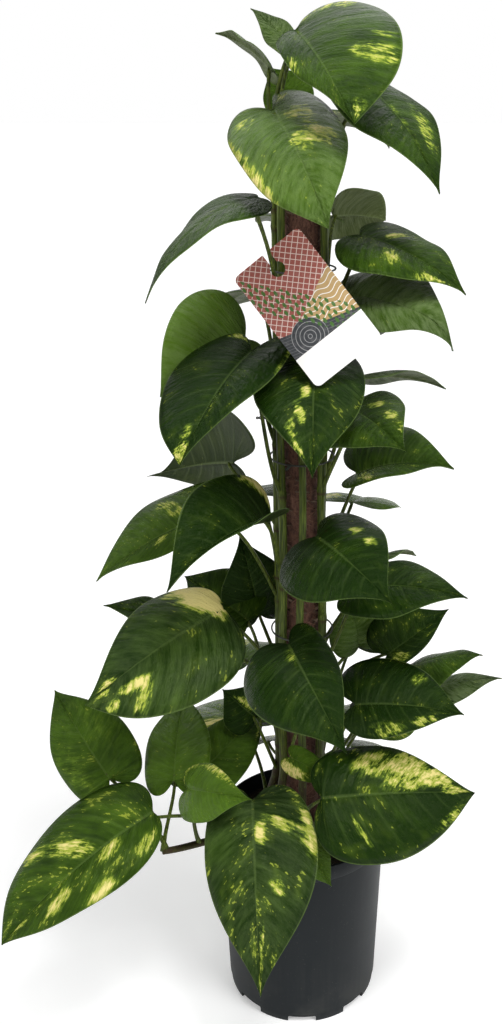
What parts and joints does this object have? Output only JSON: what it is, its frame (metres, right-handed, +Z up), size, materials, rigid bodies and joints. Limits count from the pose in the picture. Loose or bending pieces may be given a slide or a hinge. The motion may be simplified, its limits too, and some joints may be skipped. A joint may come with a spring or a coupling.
{
  "type": "potted pothos plant",
  "caption": "Climbing pothos with heart-shaped variegated leaves, tied to a coir pole in a round nursery pot, with a hanging label card.",
  "frame": {"origin": "middle of the pot's underside, where it rests", "axes": "+Z up along the pole; -Y towards the viewer of the picture, +X to the viewer's right"},
  "size_m": [0.4758, 0.4005, 0.9694],
  "materials": {
    "pot_plastic": "matte anthracite",
    "soil": "loose and matte",
    "stake_wood": "bare",
    "coir": "coarse fibre",
    "foliage": "waxy and glossy, splashed with yellow",
    "tie_wire": "coated",
    "label_card": "printed card"
  },
  "bodies": {
    "root": {"pot": "pot_plastic", "soil": "soil", "pole_stake": "stake_wood", "pole_coir": "coir", "stem_front_left": "foliage", "stem_front_right": "foliage", "stem_front": "foliage", "stem_left": "foliage", "stem_right": "foliage", "stem_back": "foliage", "stem_trailing": "foliage", "stem_low": "foliage", "tie_0": "tie_wire", "tie_1": "tie_wire", "tie_2": "tie_wire", "tie_3": "tie_wire", "tie_4": "tie_wire", "plant_label": "label_card"}
  },
  "joints": []
}
